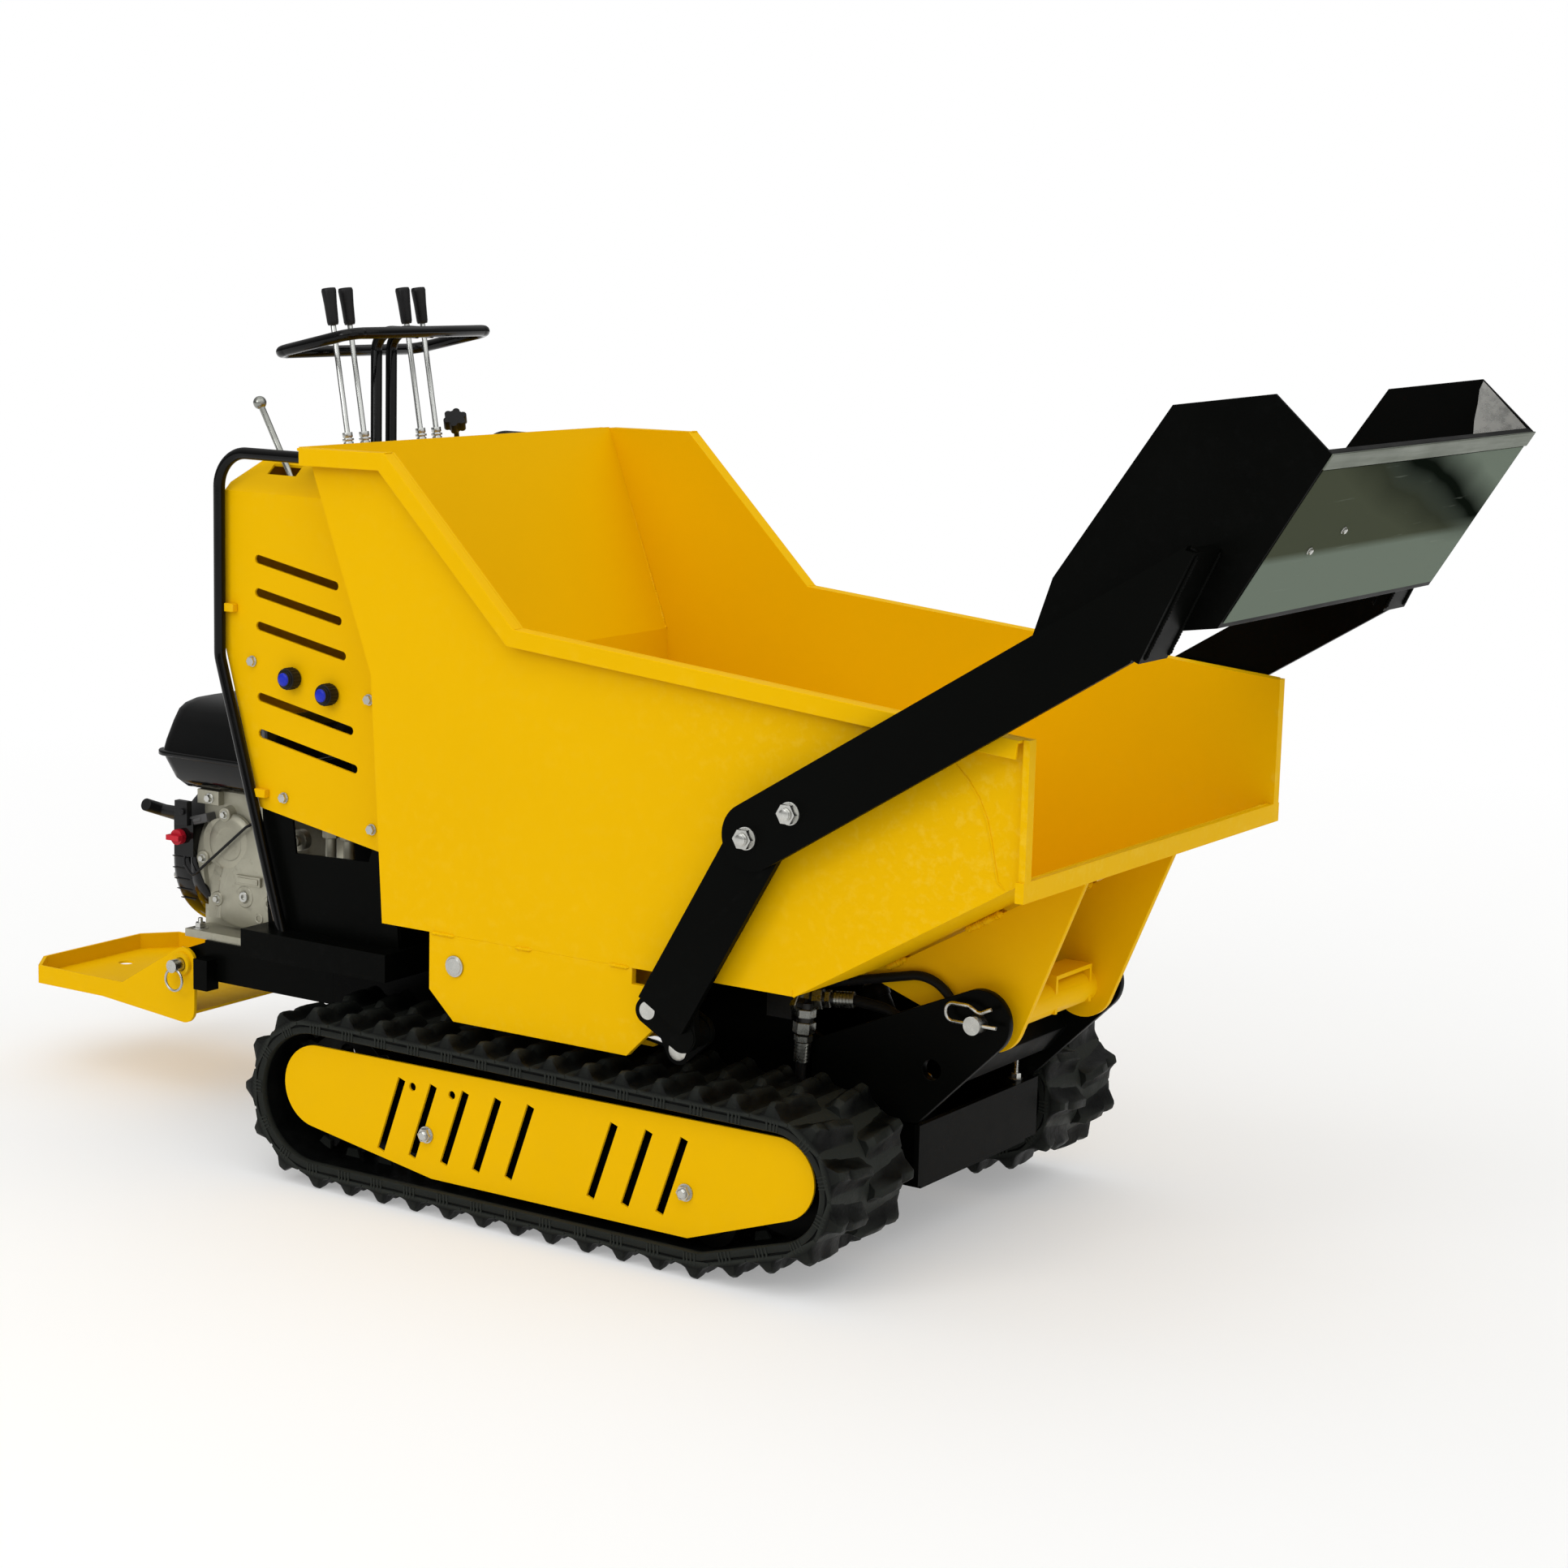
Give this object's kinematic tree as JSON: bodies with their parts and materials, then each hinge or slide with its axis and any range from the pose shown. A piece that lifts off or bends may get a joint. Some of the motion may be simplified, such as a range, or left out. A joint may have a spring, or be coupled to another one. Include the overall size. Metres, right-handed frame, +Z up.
{
  "type": "tracked power carrier with self-loading shovel",
  "caption": "Walk-behind or ride-on tracked mini dumper: rubber tracks, engine at the rear, tipping skip, and a self-loading shovel on side arms over the front.",
  "frame": {"origin": "on the ground under the middle of the whole bounding box", "axes": "+X forward, from the platform to the shovel; +Y to the driver's left; +Z up"},
  "size_m": [2.2888, 0.824, 1.2629],
  "materials": {
    "yellow_paint": "gloss",
    "black_paint": "satin",
    "track_rubber": "matte",
    "hose_rubber": "satin",
    "steel": "satin",
    "chrome": "polished",
    "alloy": "matte",
    "cast_iron": "matte",
    "black_plastic": "matte",
    "red_plastic": "gloss"
  },
  "bodies": {
    "chassis": {"main_frame": "black_paint", "pivot_arms": "black_paint", "engine_base": "black_paint", "track_frames": "black_paint", "side_covers": "yellow_paint", "panel_fasteners": "steel", "track_right": "track_rubber", "track_left": "track_rubber", "hood_shell": "yellow_paint", "hood_lower_panel": "black_paint", "tube_frame": "black_paint", "handle_loop": "black_paint", "engine_block": "alloy", "fan_cover": "black_plastic", "fuel_tank": "black_plastic", "muffler": "steel", "air_cleaner": "black_plastic", "gearbox": "alloy", "oil_tank": "black_paint", "control_valve": "cast_iron", "tip_pins": "steel", "hoses": "hose_rubber", "hose_fittings": "steel", "platform_pins": "steel"},
    "skip": {"skip_shell": "yellow_paint", "skip_rim": "yellow_paint", "skip_brackets": "yellow_paint", "skirt_plates": "yellow_paint", "loader_pins": "steel"},
    "loader": {"loader_arms": "black_paint", "arm_bolts": "steel", "bucket": "black_paint"},
    "lift_barrels": {"lift_barrels": "black_paint"},
    "lift_rods": {"lift_rods": "chrome"},
    "dump_barrel": {"dump_barrel": "black_paint"},
    "dump_rod": {"dump_rod": "chrome"},
    "platform": {"platform": "yellow_paint"},
    "gear_lever": {"gear_lever": "steel"},
    "flow_knob_rear": {"flow_knob_rear": "black_plastic"},
    "flow_knob_front": {"flow_knob_front": "black_plastic"},
    "star_knob": {"star_knob": "black_plastic"},
    "fuel_cap": {"fuel_cap": "black_plastic"},
    "engine_switch": {"engine_switch": "red_plastic"},
    "recoil_handle": {"recoil_handle": "black_plastic"},
    "sprocket_right": {"sprocket_right": "steel"},
    "sprocket_left": {"sprocket_left": "steel"},
    "idler_right": {"idler_right": "black_paint"},
    "idler_left": {"idler_left": "black_paint"},
    "roller_right_rear": {"roller_right_rear": "black_paint"},
    "roller_right_front": {"roller_right_front": "black_paint"},
    "roller_left_rear": {"roller_left_rear": "black_paint"},
    "roller_left_front": {"roller_left_front": "black_paint"},
    "lever_1": {"lever_1": "steel", "grip_1": "black_plastic"},
    "lever_2": {"lever_2": "steel", "grip_2": "black_plastic"},
    "lever_3": {"lever_3": "steel", "grip_3": "black_plastic"},
    "lever_4": {"lever_4": "steel", "grip_4": "black_plastic"}
  },
  "joints": [
    {"name": "skip_tip", "type": "hinge", "parent": "chassis", "child": "skip", "pos_m": [0.62457, 0, 0.352], "axis": [0, 1, 0], "range_deg": [0, 48]},
    {"name": "loader_lift", "type": "hinge", "parent": "skip", "child": "loader", "pos_m": [0.24457, 0, 0.35], "axis": [0, -1, 0], "range_deg": [-58, 44]},
    {"name": "lift_barrel_swing", "type": "hinge", "parent": "skip", "child": "lift_barrels", "pos_m": [-0.09644, 0, 0.355], "axis": [0, -1, 0], "range_deg": [-4.3, 3.3]},
    {"name": "lift_rod_slide", "type": "slide", "parent": "lift_barrels", "child": "lift_rods", "axis": [0.9864, 0, -0.1644], "range_m": [-0.05, 0.038]},
    {"name": "dump_swing", "type": "hinge", "parent": "chassis", "child": "dump_barrel", "pos_m": [0.46741, 0, 0.11185], "axis": [0, 1, 0], "range_deg": [0, 25]},
    {"name": "dump_extend", "type": "slide", "parent": "dump_barrel", "child": "dump_rod", "axis": [-0.4633, 0, 0.8862], "range_m": [0, 0.187]},
    {"name": "platform_fold", "type": "hinge", "parent": "chassis", "child": "platform", "pos_m": [-0.78943, 0, 0.221], "axis": [0, 1, 0], "range_deg": [0, 60]},
    {"name": "lever_1_tilt", "type": "hinge", "parent": "chassis", "child": "lever_1", "pos_m": [-0.49588, -0.102, 0.98049], "axis": [0, 1, 0], "range_deg": [-12, 12], "stiffness_Nm_per_rad": 4},
    {"name": "lever_2_tilt", "type": "hinge", "parent": "chassis", "child": "lever_2", "pos_m": [-0.49588, -0.065, 0.98049], "axis": [0, 1, 0], "range_deg": [-12, 12], "stiffness_Nm_per_rad": 4},
    {"name": "lever_3_tilt", "type": "hinge", "parent": "chassis", "child": "lever_3", "pos_m": [-0.49588, 0.065, 0.98049], "axis": [0, 1, 0], "range_deg": [-12, 12], "stiffness_Nm_per_rad": 4},
    {"name": "lever_4_tilt", "type": "hinge", "parent": "chassis", "child": "lever_4", "pos_m": [-0.49588, 0.102, 0.98049], "axis": [0, 1, 0], "range_deg": [-12, 12], "stiffness_Nm_per_rad": 4},
    {"name": "gear_shift", "type": "hinge", "parent": "chassis", "child": "gear_lever", "pos_m": [-0.46443, -0.254, 0.966], "axis": [0, 1, 0], "range_deg": [-8, 8]},
    {"name": "flow_rear_turn", "type": "hinge", "parent": "chassis", "child": "flow_knob_rear", "pos_m": [-0.44544, -0.29, 0.714], "axis": [0, -1, 0], "range_deg": [-135, 135]},
    {"name": "flow_front_turn", "type": "hinge", "parent": "chassis", "child": "flow_knob_front", "pos_m": [-0.37544, -0.29, 0.698], "axis": [0, -1, 0], "range_deg": [-135, 135]},
    {"name": "star_knob_turn", "type": "hinge", "parent": "chassis", "child": "star_knob", "pos_m": [-0.51043, 0.156, 1.0294], "axis": [0.3787, -0.5826, 0.7191], "range_deg": [-180, 180]},
    {"name": "fuel_cap_turn", "type": "hinge", "parent": "chassis", "child": "fuel_cap", "pos_m": [-0.68244, 0.04, 0.64], "axis": [0, 0, 1], "range_deg": [0, 90]},
    {"name": "engine_switch_turn", "type": "hinge", "parent": "chassis", "child": "engine_switch", "pos_m": [-0.82844, -0.122, 0.411], "axis": [0, -1, 0], "range_deg": [0, 45]},
    {"name": "recoil_pull", "type": "slide", "parent": "chassis", "child": "recoil_handle", "axis": [-1, 0, 0], "range_m": [0, 0.025], "stiffness_N_per_m": 200},
    {"name": "sprocket_right_turn", "type": "hinge", "parent": "chassis", "child": "sprocket_right", "pos_m": [-0.33043, -0.29, 0.132], "axis": [0, 1, 0], "continuous": true},
    {"name": "idler_right_turn", "type": "hinge", "parent": "chassis", "child": "idler_right", "pos_m": [0.44756, -0.29, 0.148], "axis": [0, 1, 0], "continuous": true},
    {"name": "roller_right_rear_turn", "type": "hinge", "parent": "chassis", "child": "roller_right_rear", "pos_m": [-0.01243, -0.29, 0.073], "axis": [0, 1, 0], "continuous": true},
    {"name": "roller_right_front_turn", "type": "hinge", "parent": "chassis", "child": "roller_right_front", "pos_m": [0.33256, -0.29, 0.073], "axis": [0, 1, 0], "continuous": true},
    {"name": "sprocket_left_turn", "type": "hinge", "parent": "chassis", "child": "sprocket_left", "pos_m": [-0.33043, 0.29, 0.132], "axis": [0, 1, 0], "continuous": true},
    {"name": "idler_left_turn", "type": "hinge", "parent": "chassis", "child": "idler_left", "pos_m": [0.44756, 0.29, 0.148], "axis": [0, 1, 0], "continuous": true},
    {"name": "roller_left_rear_turn", "type": "hinge", "parent": "chassis", "child": "roller_left_rear", "pos_m": [-0.01243, 0.29, 0.073], "axis": [0, 1, 0], "continuous": true},
    {"name": "roller_left_front_turn", "type": "hinge", "parent": "chassis", "child": "roller_left_front", "pos_m": [0.33256, 0.29, 0.073], "axis": [0, 1, 0], "continuous": true}
  ],
  "couplings": [
    {"joint": "lift_barrel_swing", "follows": "loader_lift", "ratio": 0.07},
    {"joint": "lift_rod_slide", "follows": "loader_lift", "m_per_rad": 0.048},
    {"joint": "dump_swing", "follows": "skip_tip", "ratio": 0.5},
    {"joint": "dump_extend", "follows": "skip_tip", "m_per_rad": 0.221},
    {"joint": "idler_right_turn", "follows": "sprocket_right_turn", "ratio": 1.2564},
    {"joint": "roller_right_rear_turn", "follows": "sprocket_right_turn", "ratio": 2.5128},
    {"joint": "roller_right_front_turn", "follows": "sprocket_right_turn", "ratio": 2.5128},
    {"joint": "idler_left_turn", "follows": "sprocket_left_turn", "ratio": 1.2564},
    {"joint": "roller_left_rear_turn", "follows": "sprocket_left_turn", "ratio": 2.5128},
    {"joint": "roller_left_front_turn", "follows": "sprocket_left_turn", "ratio": 2.5128}
  ]
}
